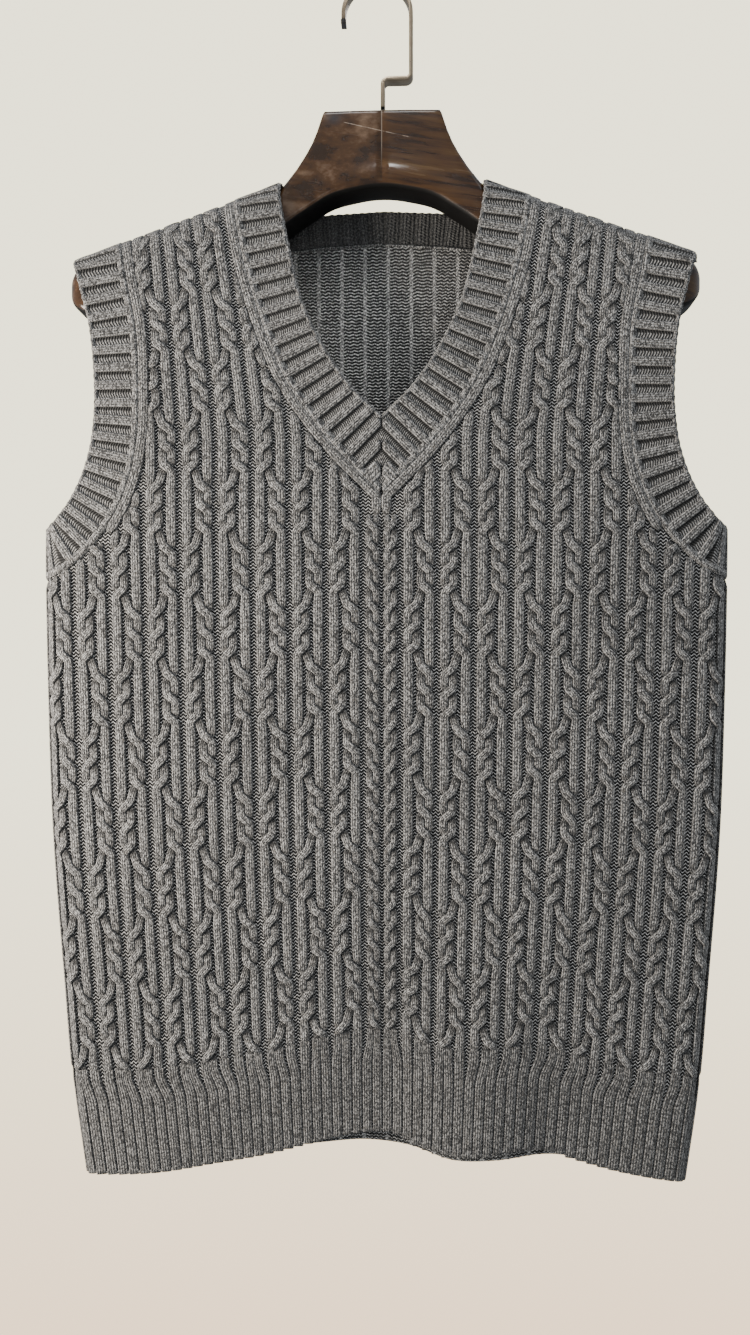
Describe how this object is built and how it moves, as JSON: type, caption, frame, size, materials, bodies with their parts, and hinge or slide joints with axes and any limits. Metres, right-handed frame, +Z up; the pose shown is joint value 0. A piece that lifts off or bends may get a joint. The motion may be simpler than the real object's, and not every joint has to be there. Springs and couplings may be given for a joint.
{
  "type": "cable-knit sweater vest on a hanger",
  "caption": "Grey marl cable-knit sleeveless V-neck sweater vest with ribbed bands and hem, hanging on a broad-shouldered dark wood-look hanger with a flat metal hook.",
  "frame": {"origin": "the point of the hook's inner face that a rail bears on, in the garment's middle plane", "axes": "+Z up, +X to the right seen from the front, the front of the vest faces -Y"},
  "size_m": [0.4882, 0.0574, 0.8564],
  "materials": {
    "grey_cable_knit": "mid-grey marl wool-blend yarn, soft and matt, knitted in small cables",
    "grey_rib_knit": "the same marl yarn in a firm rib",
    "dark_wood_look": "dark brown streaked wood-look film under a high gloss, black beneath",
    "champagne_metal": "pale champagne-gold plated strip, satin to glossy",
    "black_cap": "satin black"
  },
  "bodies": {
    "root": {"front_body": "grey_cable_knit", "back_body": "grey_cable_knit", "front_hem_rib": "grey_rib_knit", "back_hem_rib": "grey_rib_knit", "neckband": "grey_rib_knit", "armhole_band_left": "grey_rib_knit", "armhole_band_right": "grey_rib_knit", "hanger_arm_left": "dark_wood_look", "hanger_arm_right": "dark_wood_look", "hanger_hook": "champagne_metal", "hook_tip": "black_cap"}
  },
  "joints": []
}
